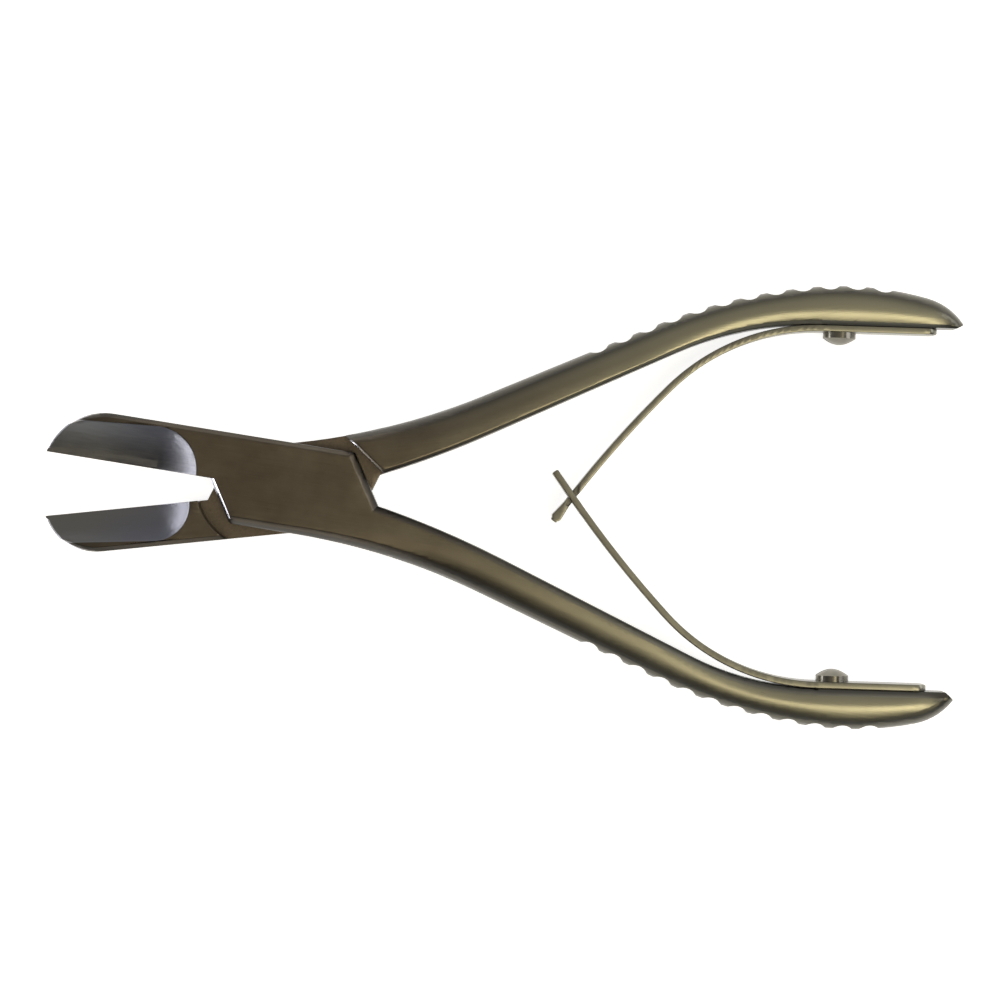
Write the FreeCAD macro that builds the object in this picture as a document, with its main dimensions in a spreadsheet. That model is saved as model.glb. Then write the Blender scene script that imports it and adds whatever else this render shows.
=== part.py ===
"""Straight bone cutting forceps with a lap joint and two crossed leaf springs.

The part lies flat. Its frame has the pivot axis on Z, the handles towards +X, and z = 0 on the
face that the joint rests on. Both arms are one forging, finished by hand: the rear arm is the
front arm turned over about X, with a few sizes of its own. Each arm is modelled closed, and then
opened.
"""
import FreeCAD, Part
import math
import os
import Sketcher

Vector = FreeCAD.Vector

# Driving sizes in millimetres and degrees: name, value, meaning
DRIVING_SIZES = [
    ("joint_thickness", 7.0, "depth of the closed joint, the blade roots and the handles"),
    ("open_half_angle", 7.4, "turn of each arm from closed to the open rest position"),
    ("closing_gap", 0.16, "gap between the two cutting edges with the blades closed"),
    ("lap_gap", 0.05, "gap between the two lap plates"),
    ("blade_length", 37.6, "pivot axis to blade tip"),
    ("blade_width", 6.85, "mid line to blade back"),
    ("edge_shift", 0.52, "mid line to the place where the cutting edges meet, on the front arm's side"),
    ("nose_bend_radius", 8.6, "bend from the rear arm's blade back into its nose"),
    ("front_nose_bend_radius", 10.0, "the same on the front arm"),
    ("nose_angle", 70.0, "slope of the nose where it runs out at the tip"),
    ("nose_chamfer", 0.7, "chamfer round the nose of the blade"),
    ("tip_thickness", 5.2, "depth of the blade at its tip"),
    ("grind_end", 20.7, "pivot axis to the centre of the rounded end of the hollow grind"),
    ("grind_width", 6.1, "mid line to the far side of the hollow grind"),
    ("grind_tip_width", 4.7, "the same at the blade tip"),
    ("grind_radius", 16.0, "radius of the grinding wheel that hollows the blade"),
    ("edge_thickness", 0.2, "flat left on the cutting edge"),
    ("waist_half_width", 6.8, "mid line to the outer side of the arm at the pivot"),
    ("throat_length", 12.35, "pivot to the lap plate shoulder at the blades along the mid line"),
    ("crotch_length", 13.35, "pivot to the lap plate shoulder at the handles along the mid line"),
    ("lap_shoulder_angle", 32.5, "lean of both lap plate shoulders"),
    ("throat_shoulder_chamfer", 0.6, "chamfer on the lap plate shoulder at the blades"),
    ("crotch_shoulder_chamfer", 0.95, "chamfer on the lap plate shoulder at the handles"),
    ("blade_wall_start", 13.9, "pivot to the recess wall where it meets the cutting edge"),
    ("blade_wall_end", 10.1, "pivot to the recess wall where it meets the blade back"),
    ("blade_wall_radius", 9.0, "bulge of the recess wall behind the blade"),
    ("blade_wall_chamfer", 0.25, "chamfer on the recess wall behind the blade"),
    ("handle_wall_start", 15.0, "pivot to the recess wall at the handle along the mid line"),
    ("handle_wall_angle", 39.5, "lean of the recess wall at the handle"),
    ("handle_wall_chamfer", 0.45, "chamfer on the recess wall at the handle"),
    ("neck_start", 1.6, "pivot to the point where the outer side starts to bow out"),
    ("neck_radius", 100.5, "outer bend behind the joint"),
    ("outer_angle", 16.65, "slope of the outer side of the straight shank"),
    ("grip_start", 58.0, "pivot to the end of the straight shank, outer side"),
    ("front_grip_more", 1.6, "how much longer the front arm's straight shank is"),
    ("grip_radius", 81.5, "outer bend from the shank to the widest place"),
    ("palm_radius", 49.5, "outer bend behind the widest place"),
    ("palm_angle", 21.5, "turn of that bend"),
    ("front_palm_less_angle", 1.8, "how much less it turns on the front arm"),
    ("handle_end_radius", 9.5, "bend round the end of the handle"),
    ("handle_end_angle", 42.0, "turn of that bend"),
    ("crotch_drop", 0.62, "mid line to the crotch corner of one arm"),
    ("inner_start_angle", 11.0, "slope of the inner side at the crotch"),
    ("front_inner_less_angle", 1.1, "how much flatter the front arm's inner side starts"),
    ("inner_neck_radius", 146.0, "inner bend behind the joint"),
    ("inner_angle", 18.0, "slope of the inner side of the straight shank"),
    ("inner_chamfer", 0.5, "chamfer along the inner side of the rear arm's handle"),
    ("front_inner_chamfer", 0.9, "the same on the front arm, which is eased more"),
    ("seat_offset", 27.3, "mid line to the rear arm's spring seat with the handles at rest"),
    ("front_seat_more", 0.6, "how much further out the front arm's spring seat lies"),
    ("seat_end_margin", 1.3, "end of the handle back to the end of the spring seat"),
    ("crown_radius", 4.5, "section radius of the rounded outer side of the handle"),
    ("crown_runout", 0.46, "how far the rounded side stays outside the waist"),
    ("tooth_margin", 9.1, "first finger groove to the end of the rear arm's straight shank"),
    ("tooth_pitch", 4.07, "distance between finger grooves along the grip"),
    ("tooth_radius", 2.1, "radius of a finger groove"),
    ("tooth_depth", 0.62, "depth of a finger groove"),
    ("pin_radius", 2.5, "shank radius of the pivot rivet"),
    ("pin_head_radius", 3.2, "radius of the flush rivet head"),
    ("pin_head_depth", 0.8, "depth of the conical rivet head"),
    ("pin_clearance", 0.03, "radial running clearance of the rivet in the arms"),
    ("spring_thickness", 1.05, "thickness of the leaf springs"),
    ("spring_width", 5.0, "width of the leaf springs"),
    ("spring_tail_margin", 4.2, "end of the handle back to the tail end of a spring"),
    ("spring_tail_radius", 1.5, "rounded corners of the tail end"),
    ("spring_lift_off", 0.4, "start of the seat to the place where a spring leaves it"),
    ("spring_bend_radius", 32.0, "bend with which a spring leaves its seat"),
    ("spring_bend_angle", 46.0, "turn of that bend"),
    ("crossing_angle", 53.8, "slope of a spring where the two cross"),
    ("crossing_margin", 58.8, "end of the handle back to the place where the springs cross"),
    ("spring_tip", 4.7, "length of a spring beyond the crossing"),
    ("tongue_width", 2.2, "width of the tongue of the upper spring"),
    ("tongue_clearance", 0.3, "gap each side of the tongue in its window"),
    ("window_reach", 1.3, "half length of the window along the mid line"),
    ("tongue_reach", 0.9, "half length of the tongue along the mid line"),
    ("head_width", 4.2, "width of the head that ends the tongue"),
    ("head_thickness", 1.55, "thickness of that head at its end"),
    ("head_end_radius", 0.8, "rounding of that end"),
    ("screw_margin", 0.1, "flat spring left beside a screw head before the spring bends"),
    ("screw_shank_radius", 1.3, "shank radius of a spring screw"),
    ("screw_clearance", 0.04, "radial clearance of a screw shank"),
    ("screw_depth", 4.0, "length of the screw shank inside the handle"),
    ("screw_head_radius", 2.5, "head radius of a spring screw"),
    ("screw_head_height", 1.9, "height of that head"),
    ("slot_width", 0.7, "width of the screwdriver slot"),
    ("slot_depth", 0.8, "depth of the screwdriver slot"),
]


class Size:
    """A number together with the sheet formula that gives it, so that arithmetic keeps both."""

    def __init__(self, value, formula):
        self.value = float(value)
        self.formula = formula

    def __add__(self, other):
        other = as_size(other)
        return Size(self.value + other.value, "(" + self.formula + " + " + other.formula + ")")

    def __sub__(self, other):
        other = as_size(other)
        return Size(self.value - other.value, "(" + self.formula + " - " + other.formula + ")")

    def __mul__(self, other):
        other = as_size(other)
        return Size(self.value * other.value, self.formula + " * " + other.formula)

    def __truediv__(self, other):
        other = as_size(other)
        return Size(self.value / other.value, self.formula + " / (" + other.formula + ")")

    def __neg__(self):
        return Size(-self.value, "(0 - " + self.formula + ")")

    def __radd__(self, other):
        return as_size(other) + self

    def __rsub__(self, other):
        return as_size(other) - self

    def __rmul__(self, other):
        return as_size(other) * self


def as_size(thing):
    if isinstance(thing, Size):
        return thing
    if thing < 0:
        return Size(thing, "(0 - " + str(float(-thing)) + ")")
    return Size(thing, str(float(thing)))


def sine(angle):
    return Size(math.sin(math.radians(angle.value)), "sin(" + angle.formula + " * 1 deg)")


def cosine(angle):
    return Size(math.cos(math.radians(angle.value)), "cos(" + angle.formula + " * 1 deg)")


def tangent(angle):
    return Size(math.tan(math.radians(angle.value)), "tan(" + angle.formula + " * 1 deg)")


def root(square):
    return Size(math.sqrt(square.value), "sqrt(" + square.formula + ")")


def turned(point, angle):
    """The point turned by the angle about the pivot axis."""
    x, y = point
    return (x * cosine(angle) - y * sine(angle), x * sine(angle) + y * cosine(angle))


def bend(start, radius, slope_from, slope_to):
    """The end of a tangent bend on a line that runs to the right. Slopes are downward."""
    x, y = start
    way = 1 if slope_to.value > slope_from.value else -1
    return (x + way * radius * (sine(slope_to) - sine(slope_from)),
            y - way * radius * (cosine(slope_from) - cosine(slope_to)))


doc = FreeCAD.newDocument("bone_cutting_forceps")
sheet = doc.addObject("Spreadsheet::Sheet", "sizes")


class Sizes:
    """Every driving size by its name, as a Size bound to its cell of the sheet."""


s = Sizes()
for row, (name, value, meaning) in enumerate(DRIVING_SIZES, start=1):
    sheet.set("A" + str(row), name)
    sheet.set("B" + str(row), str(value))
    sheet.setAlias("B" + str(row), name)
    sheet.set("C" + str(row), meaning)
    setattr(s, name, Size(value, "sizes." + name))
doc.recompute()


def keep(name, size, meaning):
    """Gives a worked-out size a row of its own in the sheet, and a name like the driving sizes."""
    row = str(len(DRIVING_SIZES) + 1 + len(kept_sizes))
    sheet.set("A" + row, name)
    sheet.set("B" + row, "=" + size.formula.replace("sizes.", ""))
    sheet.setAlias("B" + row, name)
    sheet.set("C" + row, meaning)
    kept_sizes.append(name)
    return Size(size.value, "sizes." + name)


kept_sizes = []
ZERO = as_size(0)
half_thickness = s.joint_thickness / 2
edge_offset = s.closing_gap / 2
# How far cutting tools reach past the metal
OVERRUN = 1.5


def bind(thing, path, size):
    thing.setExpression(path, size.formula)


def new_body(name):
    body = doc.addObject("PartDesign::Body", name)
    body.Label = name
    return body


def origin_plane(body, role):
    return [feature for feature in body.Origin.OriginFeatures if feature.Role == role][0]


def new_sketch(body, name, role, lift=ZERO, base=(ZERO, ZERO), turn=ZERO):
    """A sketch on an origin plane, lifted along its normal, and shifted and turned in it."""
    sketch = body.newObject("Sketcher::SketchObject", name)
    sketch.AttachmentSupport = [(origin_plane(body, role), "")]
    sketch.MapMode = "FlatFace"
    rotation = FreeCAD.Rotation(Vector(0, 0, 1), turn.value)
    offset = Vector(base[0].value, base[1].value, lift.value)
    sketch.AttachmentOffset = FreeCAD.Placement(offset, rotation)
    bind(sketch, ".AttachmentOffset.Base.x", base[0])
    bind(sketch, ".AttachmentOffset.Base.y", base[1])
    bind(sketch, ".AttachmentOffset.Base.z", lift)
    if turn.value != 0:
        bind(sketch, ".AttachmentOffset.Rotation.Angle", turn)
    return sketch


def bound_constraint(sketch, label, size, *arguments):
    index = sketch.addConstraint(Sketcher.Constraint(*arguments, size.value))
    sketch.renameConstraint(index, label)
    bind(sketch, "Constraints." + label, size)


def draw_edge(sketch, start, end, arc):
    """Adds one edge and returns which of its ends is its start and which is its end."""
    first = Vector(start[0].value, start[1].value, 0)
    last = Vector(end[0].value, end[1].value, 0)
    if arc is None:
        sketch.addGeometry(Part.LineSegment(first, last), False)
        return 1, 2
    radius, side = arc
    chord = last - first
    left = Vector(-chord.y, chord.x, 0).normalize()
    reach = math.sqrt(max(radius.value ** 2 - (chord.Length / 2) ** 2, 0))
    centre = (first + last) * 0.5 + left * (side * reach)
    start_angle = math.atan2(first.y - centre.y, first.x - centre.x)
    end_angle = math.atan2(last.y - centre.y, last.x - centre.x)
    circle = Part.Circle(centre, Vector(0, 0, 1), radius.value)
    if side > 0:
        sketch.addGeometry(Part.ArcOfCircle(circle, start_angle, end_angle), False)
        return 1, 2
    sketch.addGeometry(Part.ArcOfCircle(circle, end_angle, start_angle), False)
    return 2, 1


def draw(sketch, corners, arcs=None, closed=True):
    """Joins the corners with lines. arcs gives the edges that bend: edge number to (radius, side),
    where side is 1 for a centre to the left of the edge and -1 for one to the right."""
    arcs = arcs or {}
    count = len(corners) if closed else len(corners) - 1
    ends = []
    for number in range(count):
        following = corners[(number + 1) % len(corners)]
        ends.append(draw_edge(sketch, corners[number], following, arcs.get(number)))
        if number in arcs:
            bound_constraint(sketch, "radius" + str(number), arcs[number][0], "Radius", number)
    for number in range(count if closed else count - 1):
        after = (number + 1) % count
        sketch.addConstraint(Sketcher.Constraint("Coincident", number, ends[number][1],
                                                 after, ends[after][0]))
    for number in range(len(corners)):
        edge, place = (number, ends[number][0]) if number < count else (count - 1, ends[-1][1])
        bound_constraint(sketch, "x" + str(number), corners[number][0], "DistanceX", -1, 1, edge, place)
        bound_constraint(sketch, "y" + str(number), corners[number][1], "DistanceY", -1, 1, edge, place)
    return sketch


def draw_circle(sketch, number, centre, radius):
    circle = Part.Circle(Vector(centre[0].value, centre[1].value, 0), Vector(0, 0, 1), radius.value)
    sketch.addGeometry(circle, False)
    bound_constraint(sketch, "x" + str(number), centre[0], "DistanceX", -1, 1, number, 3)
    bound_constraint(sketch, "y" + str(number), centre[1], "DistanceY", -1, 1, number, 3)
    bound_constraint(sketch, "radius" + str(number), radius, "Radius", number)


def pad(body, name, sketch, length):
    feature = body.newObject("PartDesign::Pad", name)
    feature.Profile = sketch
    feature.Midplane = True
    bind(feature, "Length", length)
    return feature


def pocket(body, name, sketch, both_ways=True):
    """Cuts the sketch right through, both ways or only against the sketch's normal."""
    feature = body.newObject("PartDesign::Pocket", name)
    feature.Profile = sketch
    feature.Type = "ThroughAll"
    feature.Midplane = both_ways
    return feature


def groove(body, name, sketch, angle=360, backwards=False):
    """Turns the sketch about its own upright axis and cuts it."""
    feature = body.newObject("PartDesign::Groove", name)
    feature.Profile = sketch
    feature.ReferenceAxis = (sketch, ["V_Axis"])
    feature.Angle = angle
    feature.Reversed = backwards
    return feature


def nearest_edges(body, points):
    """Names of the edges of the body's last shape that pass nearest to the given points."""
    doc.recompute()
    shape = body.Tip.Shape
    names = []
    for point in points:
        vertex = Part.Vertex(point)
        distances = [vertex.distToShape(edge)[0] for edge in shape.Edges]
        names.append("Edge" + str(distances.index(min(distances)) + 1))
    return sorted(set(names))


def chamfer(body, name, size, points):
    edges = nearest_edges(body, points)
    base = body.Tip
    feature = body.newObject("PartDesign::Chamfer", name)
    feature.Base = (base, edges)
    bind(feature, "Size", size)
    return feature


def middle(first, last, height):
    """The point half way between two corners, at the given height."""
    return Vector((first[0].value + last[0].value) / 2, (first[1].value + last[1].value) / 2, height)


class HandleSide:
    """The outer side of one closed arm's handle, from the waist to the end of the handle."""

    def __init__(self, grip_start, palm_angle):
        self.palm_angle = palm_angle
        self.neck_start = (s.neck_start, -s.waist_half_width)
        self.neck_end = bend(self.neck_start, s.neck_radius, ZERO, s.outer_angle)
        fall = (grip_start - self.neck_end[0]) * tangent(s.outer_angle)
        self.grip_start = (grip_start, self.neck_end[1] - fall)
        self.widest = bend(self.grip_start, s.grip_radius, s.outer_angle, ZERO)
        self.palm_end = bend(self.widest, s.palm_radius, ZERO, -palm_angle)
        self.exit_angle = palm_angle + s.handle_end_angle
        self.end = bend(self.palm_end, s.handle_end_radius, -palm_angle, -self.exit_angle)


front_side = HandleSide(s.grip_start + s.front_grip_more, s.palm_angle - s.front_palm_less_angle)
rear_side = HandleSide(s.grip_start, s.palm_angle)
# What sits on the handles is placed from their ends, along the mid line, with the handles at rest
handle_reach = keep("handle_reach", turned(rear_side.end, -s.open_half_angle)[0],
                    "pivot to the end of the rear arm's handle at rest")
seat_end = keep("seat_end", handle_reach - s.seat_end_margin, "pivot to the end of a spring seat")
spring_tail = keep("spring_tail", handle_reach - s.spring_tail_margin,
                   "pivot to the tail end of a spring")
spring_crossing = keep("spring_crossing", handle_reach - s.crossing_margin,
                       "pivot to the place where the springs cross")


class SpringShape:
    """The middle line of a spring at rest, as if on the upper side, from its tail to its tip."""

    def __init__(self, name, seat_offset):
        self.height = seat_offset - s.spring_thickness / 2
        self.crossing = (spring_crossing, ZERO)
        self.tip = (spring_crossing - s.spring_tip * cosine(s.crossing_angle),
                    -(s.spring_tip * sine(s.crossing_angle)))
        # The free leg bends just enough to reach the mid line at the crossing angle
        fall = cosine(s.spring_bend_angle) - cosine(s.crossing_angle)
        bend_height = self.height - s.spring_bend_radius * (1 - cosine(s.spring_bend_angle))
        self.leg_radius = keep(name + "_leg_radius", bend_height / fall, "bend of the free leg")
        leg_run = self.leg_radius * (sine(s.crossing_angle) - sine(s.spring_bend_angle))
        self.bend_end = (spring_crossing + leg_run, bend_height)
        bend_run = s.spring_bend_radius * sine(s.spring_bend_angle)
        self.lift = keep(name + "_lift", self.bend_end[0] + bend_run,
                         "pivot to the place where the spring leaves its seat")
        self.bend_start = (self.lift, self.height)
        self.screw_place = keep(name + "_screw_place",
                                self.lift + s.screw_head_radius + s.screw_margin,
                                "pivot to the screw that holds the spring")
        self.tail = (spring_tail, self.height)


upper_shape = SpringShape("upper_spring", s.seat_offset)
lower_shape = SpringShape("lower_spring", s.seat_offset + s.front_seat_more)


class ArmShape:
    """The corners of one closed arm, with the blade to the left and the handle falling right."""

    def __init__(self, side, edge, nose_radius, seat_offset, inner_start_angle, inner_chamfer,
                 spring):
        self.edge = edge
        self.side = side
        self.seat_offset = seat_offset
        self.nose_radius = nose_radius
        self.inner_chamfer = inner_chamfer
        self.spring = spring
        nose_drop = s.blade_width - nose_radius * (1 - cosine(s.nose_angle)) - edge
        nose_run = nose_radius * sine(s.nose_angle) + nose_drop / tangent(s.nose_angle)
        self.nose_start = (nose_run - s.blade_length, s.blade_width)
        self.nose_end = (self.nose_start[0] - nose_radius * sine(s.nose_angle), edge + nose_drop)
        self.tip = (-s.blade_length, edge)
        lean = tangent(s.lap_shoulder_angle)
        self.throat = (edge * -1 * lean - s.throat_length, edge)
        self.plate_low = (s.waist_half_width * lean - s.throat_length, -s.waist_half_width)
        self.plate_high = (s.crotch_length - s.blade_width * lean, s.blade_width)
        self.crotch = (s.crotch_length + s.crotch_drop * lean, -s.crotch_drop)
        self.seat_end = self.seat_point(seat_end)
        self.inner_neck_end = bend(self.crotch, s.inner_neck_radius, inner_start_angle,
                                   s.inner_angle)
        meeting = self.where_shank_meets_seat()
        half_turn = (s.inner_angle + s.open_half_angle) / 2
        seat_start = spring.lift - s.spring_lift_off
        leg = seat_start - turned(meeting, -s.open_half_angle)[0]
        self.inner_grip_radius = leg / tangent(half_turn)
        self.inner_grip_start = (meeting[0] - leg * cosine(s.inner_angle),
                                 meeting[1] + leg * sine(s.inner_angle))
        self.inner_grip_end = self.seat_point(seat_start)

    def seat_point(self, along):
        """A point of the closed arm's spring seat, at a distance along the rest mid line."""
        return turned((along, -self.seat_offset), s.open_half_angle)

    def where_shank_meets_seat(self):
        shank_slope = tangent(s.inner_angle)
        seat_slope = tangent(s.open_half_angle)
        seat_height = -(self.seat_offset / cosine(s.open_half_angle))
        x = ((self.inner_neck_end[1] + shank_slope * self.inner_neck_end[0] - seat_height)
             / (seat_slope + shank_slope))
        return (x, seat_height + seat_slope * x)


def arm_outline(body, shape):
    side = shape.side
    corners = [shape.tip, shape.throat, shape.plate_low, side.neck_start, side.neck_end,
               side.grip_start, side.widest, side.palm_end, side.end, shape.seat_end,
               shape.inner_grip_end, shape.inner_grip_start, shape.inner_neck_end,
               shape.crotch, shape.plate_high, shape.nose_start, shape.nose_end]
    arcs = {3: (s.neck_radius, -1), 5: (s.grip_radius, 1), 6: (s.palm_radius, 1),
            7: (s.handle_end_radius, 1), 10: (shape.inner_grip_radius, -1),
            12: (s.inner_neck_radius, 1), 15: (shape.nose_radius, 1)}
    sketch = draw(new_sketch(body, "outline", "XY_Plane"), corners, arcs)
    pad(body, "forging", sketch, s.joint_thickness)


def crown_handle(body, side):
    """Rounds the outer side of the handle with one cutter that follows it round to the end."""
    turn = 1 - cosine(s.outer_angle)
    runout_radius = s.neck_radius - s.crown_runout / turn
    low = -s.waist_half_width - s.crown_runout
    start = (-s.throat_length - OVERRUN, low)
    runout_end = (side.neck_end[0] - runout_radius * sine(s.outer_angle), low)
    leave = (side.end[0] + OVERRUN * 2 * cosine(side.exit_angle),
             side.end[1] + OVERRUN * 2 * sine(side.exit_angle))
    path = draw(new_sketch(body, "crown_path", "XY_Plane"),
                [start, runout_end, side.neck_end, side.grip_start, side.widest,
                 side.palm_end, side.end, leave],
                {1: (runout_radius, -1), 3: (s.grip_radius, 1), 4: (s.palm_radius, 1),
                 5: (s.handle_end_radius, 1)}, closed=False)
    reach = half_thickness + OVERRUN / 10
    sagitta = s.crown_radius - root(s.crown_radius * s.crown_radius - reach * reach)
    profile = draw(new_sketch(body, "crown_section", "YZ_Plane", lift=start[0]),
                   [(low + sagitta, reach), (low + sagitta, -reach),
                    (low - OVERRUN, -reach), (low - OVERRUN, reach)],
                   {0: (s.crown_radius, 1)})
    feature = body.newObject("PartDesign::SubtractivePipe", "crown")
    feature.Profile = profile
    feature.Spine = (path, [])


def soften_inner_side(body, shape):
    points = [middle(shape.inner_neck_end, shape.inner_grip_start, side * half_thickness.value)
              for side in (1, -1)]
    chamfer(body, "inner_chamfers", shape.inner_chamfer, points)


def taper_blade(body, shape):
    """Thins the blade towards its tip on both faces and chamfers its nose."""
    far = s.blade_length + OVERRUN
    for side in (1, -1):
        face = side * half_thickness
        tip_face = side * s.tip_thickness / 2
        sketch = draw(new_sketch(body, "taper" + str(side % 3), "XZ_Plane"),
                      [(-s.grind_end, face), (-s.blade_length, tip_face), (-far, tip_face),
                       (-far, side * (half_thickness + OVERRUN)),
                       (-s.grind_end, side * (half_thickness + OVERRUN))])
        pocket(body, "taper_cut" + str(side % 3), sketch)
    points = []
    for side in (1, -1):
        points.append(middle(shape.nose_end, shape.tip, side * s.tip_thickness.value / 2))
    chamfer(body, "nose_chamfers", s.nose_chamfer, points)


def grind_section(body, name, edge, place, width, height, side):
    """One section of the grinding cut, from the cutting edge out to the far side of the hollow."""
    top = height + OVERRUN
    start = edge - edge_offset
    far = width - start
    return draw(new_sketch(body, name, "YZ_Plane", lift=place, base=(start, ZERO)),
                [(ZERO, side * s.edge_thickness / 2), (far, side * height), (far, side * top),
                 (ZERO, side * top)],
                {0: (s.grind_radius, side)})


def grind_blade(body, edge):
    """Hollows both faces down to the cutting edge, with a rounded end at the joint."""
    tip_height = s.tip_thickness / 2
    for side in (1, -1):
        label = "upper" if side > 0 else "lower"
        root_section = grind_section(body, label + "_grind_root", edge, -s.grind_end,
                                     s.grind_width, half_thickness, side)
        tip_section = grind_section(body, label + "_grind_tip", edge, -s.blade_length - OVERRUN,
                                    s.grind_tip_width, tip_height, side)
        hollow = body.newObject("PartDesign::SubtractiveLoft", label + "_hollow")
        hollow.Profile = root_section
        hollow.Sections = [tip_section]
        hollow.Ruled = True
        end_section = grind_section(body, label + "_grind_end", edge, -s.grind_end,
                                    s.grind_width, half_thickness, side)
        groove(body, label + "_hollow_end", end_section, angle=180, backwards=True)


def recess_lap(body, edge):
    """Removes the lower half of the thickness between the two recess walls."""
    lean = tangent(s.handle_wall_angle)
    below = s.waist_half_width + OVERRUN
    above = s.blade_width + OVERRUN
    corners = [(-s.blade_wall_start, edge), (-s.blade_wall_start, -below),
               (s.handle_wall_start - below * lean, -below), (s.handle_wall_start, ZERO),
               (s.handle_wall_start, above), (-s.blade_wall_end, above),
               (-s.blade_wall_end, s.blade_width)]
    sketch = draw(new_sketch(body, "recess", "XY_Plane", lift=s.lap_gap / 2), corners,
                  {6: (s.blade_wall_radius, 1)})
    pocket(body, "recess_cut", sketch, both_ways=False)


def soften_lap(body, shape):
    """Chamfers the two shoulders of the lap plate and the two walls of the recess."""
    top = half_thickness.value
    lean = math.tan(math.radians(s.handle_wall_angle.value))
    fall = s.waist_half_width.value / 2
    chamfer(body, "throat_shoulder", s.throat_shoulder_chamfer,
            [middle(shape.throat, shape.plate_low, top)])
    chamfer(body, "crotch_shoulder", s.crotch_shoulder_chamfer,
            [middle(shape.crotch, shape.plate_high, top)])
    chamfer(body, "handle_wall", s.handle_wall_chamfer,
            [Vector(s.handle_wall_start.value - fall * lean, -fall, -top)])
    chamfer(body, "blade_wall", s.blade_wall_chamfer,
            [Vector(-s.blade_wall_end.value, s.blade_width.value - 1, -top)])


def grip_point(side, distance):
    """A point of the outer side, by its distance along it from the first groove, pushed out by
    the groove's own centre distance."""
    out = s.tooth_radius - s.tooth_depth
    straight = (side.grip_start[0] - s.grip_start + s.tooth_margin) / cosine(s.outer_angle)
    if distance.value < straight.value:
        back = straight - distance
        x = side.grip_start[0] - back * cosine(s.outer_angle)
        y = side.grip_start[1] + back * sine(s.outer_angle)
        return (x - out * sine(s.outer_angle), y - out * cosine(s.outer_angle))
    degrees_per_radian = 180 / math.pi
    slope = s.outer_angle - (distance - straight) / s.grip_radius * degrees_per_radian
    radius = s.grip_radius
    if slope.value < 0:
        slope = slope * s.grip_radius / s.palm_radius
        radius = s.palm_radius
    return (side.widest[0] - (radius + out) * sine(slope),
            side.widest[1] + radius - (radius + out) * cosine(slope))


TOOTH_COUNT = 12


def cut_finger_grooves(body, side):
    sketch = new_sketch(body, "finger_grooves", "XY_Plane")
    for number in range(TOOTH_COUNT):
        draw_circle(sketch, number, grip_point(side, number * s.tooth_pitch), s.tooth_radius)
    pocket(body, "finger_groove_cuts", sketch)


def rivet_section(body, name, clearance, margin):
    """Half section of the rivet: a shank with a flush conical head at each end."""
    shank = s.pin_radius + clearance
    head = s.pin_head_radius + clearance
    neck = half_thickness - s.pin_head_depth
    end = half_thickness + margin
    corners = [(ZERO, -end), (head, -end), (head, -half_thickness), (shank, -neck), (shank, neck),
               (head, half_thickness), (head, end), (ZERO, end)]
    if margin.value == 0:
        corners = corners[:2] + corners[3:6] + corners[7:]
    return draw(new_sketch(body, name, "XZ_Plane"), corners)


def bore_for_rivet(body):
    groove(body, "rivet_bore", rivet_section(body, "rivet_bore_section", s.pin_clearance,
                                             as_size(OVERRUN)))


def bore_for_spring_screw(body, shape):
    """The blind hole in the spring seat, square to it."""
    place = turned((shape.spring.screw_place, ZERO), s.open_half_angle)
    sketch = new_sketch(body, "screw_hole_section", "XY_Plane", base=place, turn=s.open_half_angle)
    radius = s.screw_shank_radius + s.screw_clearance
    deep = -shape.seat_offset - s.screw_depth - s.screw_clearance
    mouth = OVERRUN - shape.seat_offset
    draw(sketch, [(ZERO, mouth), (ZERO, deep), (radius, deep), (radius, mouth)])
    groove(body, "screw_hole", sketch)


def build_arm(name, shape):
    body = new_body(name)
    arm_outline(body, shape)
    soften_inner_side(body, shape)
    crown_handle(body, shape.side)
    taper_blade(body, shape)
    grind_blade(body, shape.edge)
    recess_lap(body, shape.edge)
    soften_lap(body, shape)
    cut_finger_grooves(body, shape.side)
    bore_for_rivet(body)
    bore_for_spring_screw(body, shape)
    return body


def build_rivet():
    body = new_body("pivot_pin")
    feature = body.newObject("PartDesign::Revolution", "rivet")
    section = rivet_section(body, "rivet_section", ZERO, ZERO)
    feature.Profile = section
    feature.ReferenceAxis = (section, ["V_Axis"])
    feature.Angle = 360
    return body


def mirrored(point, side):
    return (point[0], side * point[1])


def sweep_strip(body, side, shape):
    stations = [shape.tail, shape.bend_start, shape.bend_end, shape.crossing, shape.tip]
    path = draw(new_sketch(body, "strip_path", "XY_Plane"),
                [mirrored(point, side) for point in stations],
                {1: (s.spring_bend_radius, side), 2: (shape.leg_radius, side)}, closed=False)
    low = side * shape.height - s.spring_thickness / 2
    high = side * shape.height + s.spring_thickness / 2
    half_width = s.spring_width / 2
    section = draw(new_sketch(body, "strip_section", "YZ_Plane", lift=spring_tail),
                   [(low, -half_width), (high, -half_width), (high, half_width), (low, half_width)])
    feature = body.newObject("PartDesign::AdditivePipe", "strip")
    feature.Profile = section
    feature.Spine = (path, [])


def round_tail(body, side, shape):
    corners = [Vector(spring_tail.value, side * shape.height.value,
                      edge * s.spring_width.value / 2) for edge in (1, -1)]
    edges = nearest_edges(body, corners)
    base = body.Tip
    feature = body.newObject("PartDesign::Fillet", "tail_corners")
    feature.Base = (base, edges)
    bind(feature, "Radius", s.spring_tail_radius)


def bore_strip(body, side, shape):
    """The screw's hole through the strip, square to its seat."""
    sketch = new_sketch(body, "strip_hole_section", "XY_Plane", base=(shape.screw_place, ZERO))
    radius = s.screw_shank_radius + s.screw_clearance
    inner = side * (shape.height - s.spring_thickness / 2 - OVERRUN)
    outer = side * (shape.height + s.spring_thickness / 2 + OVERRUN)
    draw(sketch, [(ZERO, inner), (radius, inner), (radius, outer), (ZERO, outer)])
    groove(body, "strip_hole", sketch)


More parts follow.
